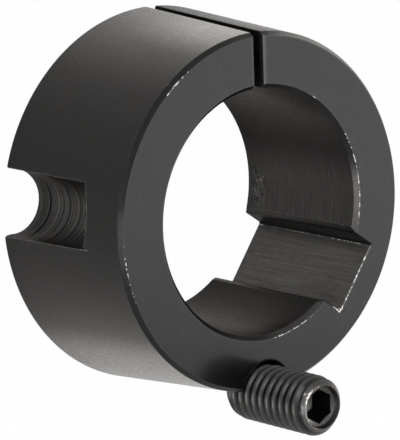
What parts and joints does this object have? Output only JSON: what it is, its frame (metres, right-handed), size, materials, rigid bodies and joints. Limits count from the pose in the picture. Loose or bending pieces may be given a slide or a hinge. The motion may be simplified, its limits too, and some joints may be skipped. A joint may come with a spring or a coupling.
{
  "type": "taper bush",
  "caption": "Split taper bush with a keyed bore, screw half-holes at its rim and a socket set screw standing in the threaded one.",
  "frame": {"origin": "middle of the bore on the large end's face, which the bush stands on", "axes": "+Z along the bore towards the small end, +Y at the split, so the set screw stands on the -Y side"},
  "size_m": [0.0694, 0.0738, 0.0466],
  "materials": {
    "bush_iron": "black oxide over turned and milled iron, worn bright on the edges",
    "screw_steel": "black oxide over rolled thread, worn on the crests"
  },
  "bodies": {
    "root": {"split_bush": "bush_iron", "set_screw": "screw_steel"}
  },
  "joints": []
}
